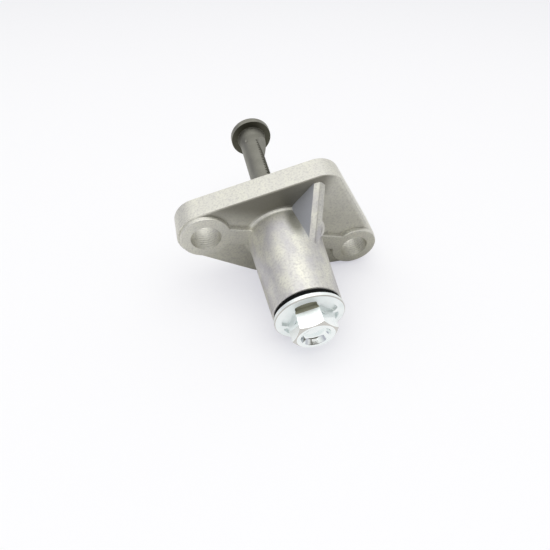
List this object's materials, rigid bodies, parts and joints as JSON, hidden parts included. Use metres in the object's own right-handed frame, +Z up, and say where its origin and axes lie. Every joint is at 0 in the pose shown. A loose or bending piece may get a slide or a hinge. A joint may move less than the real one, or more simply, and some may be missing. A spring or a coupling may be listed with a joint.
{
  "type": "cam chain tensioner",
  "caption": "Automatic cam chain tensioner: a die-cast flanged housing with a sprung ratchet plunger, a pawl in its spigot and a hexagon end bolt on a sealing ring.",
  "frame": {"origin": "on the plunger axis, in the plane of the gasket face", "axes": "+Y along the plunger, out of the gasket face; X along the two bolt holes; +Z up, towards the flange's top corner"},
  "size_m": [0.0478, 0.0642, 0.03],
  "materials": {
    "cast_aluminium": "blasted die-cast, matt",
    "phosphated_steel": "dark phosphated, satin",
    "hardened_steel": "ground, satin",
    "spring_steel": "drawn wire, bright",
    "black_rubber": "matt",
    "zinc_plated_steel": "bright zinc plate"
  },
  "bodies": {
    "housing": {"housing": "cast_aluminium", "end_bolt": "zinc_plated_steel", "sealing_ring": "black_rubber", "pawl_pin": "hardened_steel", "plunger_spring": "spring_steel", "pawl_spring": "spring_steel"},
    "plunger": {"plunger": "phosphated_steel"},
    "pawl": {"pawl": "hardened_steel"}
  },
  "joints": [
    {"name": "plunger_slide", "type": "slide", "parent": "housing", "child": "plunger", "axis": [0, 1, 0], "range_m": [-0.014, 0], "stiffness_N_per_m": 850, "springref_m": 0.01, "deforming": ["plunger_spring"]},
    {"name": "pawl_pivot", "type": "hinge", "parent": "housing", "child": "pawl", "pos_m": [0.00407, 0.0022, 0.00307], "axis": [0.6018, 0, -0.7986], "range_deg": [-4.5, 10], "stiffness_Nm_per_rad": 0.0005, "springref_deg": -4.5, "deforming": ["pawl_spring"]}
  ]
}
